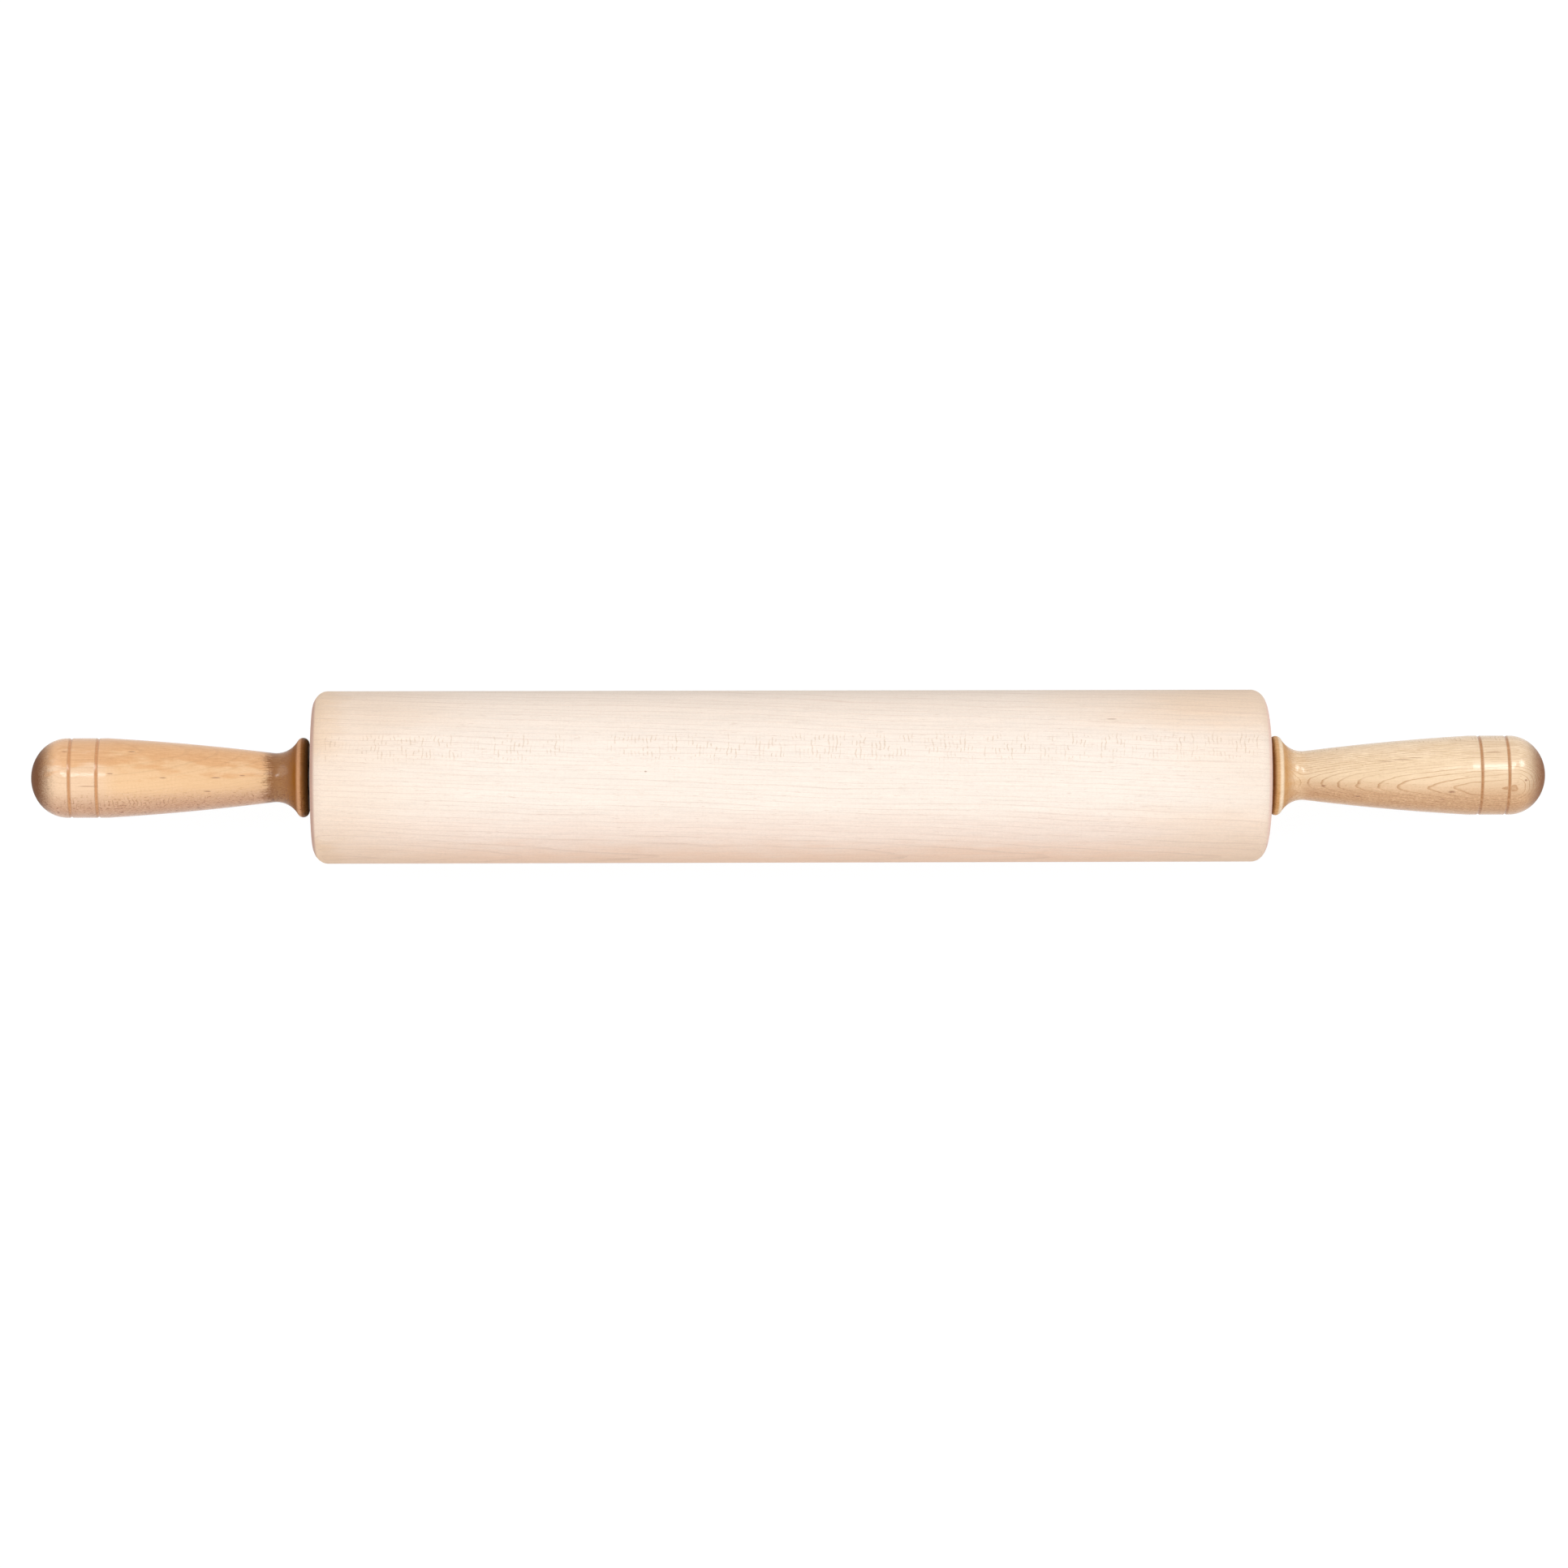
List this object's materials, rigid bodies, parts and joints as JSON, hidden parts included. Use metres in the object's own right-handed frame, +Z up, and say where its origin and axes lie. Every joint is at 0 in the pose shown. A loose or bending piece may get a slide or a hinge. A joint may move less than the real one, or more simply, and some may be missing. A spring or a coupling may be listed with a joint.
{
  "type": "roller rolling pin",
  "caption": "Wooden roller rolling pin: a wide eased maple barrel turns on ball bearings round a steel rod, with a turned lacquered handle at each end.",
  "frame": {"origin": "middle of the barrel, on its axis", "axes": "+X along the rod towards the right-hand handle, +Z up, -Y towards the cook"},
  "size_m": [0.726, 0.0826, 0.0824],
  "materials": {
    "barrel_maple": "bare sanded maple, matte",
    "handle_maple": "clear honey lacquer, glossy",
    "axle_steel": "drawn bright steel",
    "bearing_steel": "ground bearing steel",
    "ball_steel": "polished",
    "cage_steel": "pressed sheet, satin",
    "shield_steel": "pressed sheet, satin",
    "washer_nylon": "natural nylon"
  },
  "bodies": {
    "handles_and_axle": {"axle_rod": "axle_steel", "left_handle": "handle_maple", "left_bearing_inner_ring": "bearing_steel", "left_spacer_washer": "washer_nylon", "right_handle": "handle_maple", "right_bearing_inner_ring": "bearing_steel", "right_spacer_washer": "washer_nylon"},
    "barrel": {"barrel": "barrel_maple", "left_bearing_outer_ring": "bearing_steel", "left_shield_outer": "shield_steel", "left_shield_inner": "shield_steel", "right_bearing_outer_ring": "bearing_steel", "right_shield_outer": "shield_steel", "right_shield_inner": "shield_steel"},
    "left_ball_set": {"left_bearing_balls": "ball_steel", "left_cage_outer_half": "cage_steel", "left_cage_inner_half": "cage_steel"},
    "right_ball_set": {"right_bearing_balls": "ball_steel", "right_cage_outer_half": "cage_steel", "right_cage_inner_half": "cage_steel"}
  },
  "joints": [
    {"name": "barrel_spin", "type": "hinge", "parent": "handles_and_axle", "child": "barrel", "pos_m": [0, 0, 0], "axis": [1, 0, 0], "continuous": true},
    {"name": "left_ball_set_spin", "type": "hinge", "parent": "handles_and_axle", "child": "left_ball_set", "pos_m": [-0.2226, 0, 0], "axis": [1, 0, 0], "continuous": true},
    {"name": "right_ball_set_spin", "type": "hinge", "parent": "handles_and_axle", "child": "right_ball_set", "pos_m": [0.2226, 0, 0], "axis": [1, 0, 0], "continuous": true}
  ],
  "couplings": [
    {"joint": "left_ball_set_spin", "follows": "barrel_spin", "ratio": 0.6353},
    {"joint": "right_ball_set_spin", "follows": "barrel_spin", "ratio": 0.6353}
  ]
}
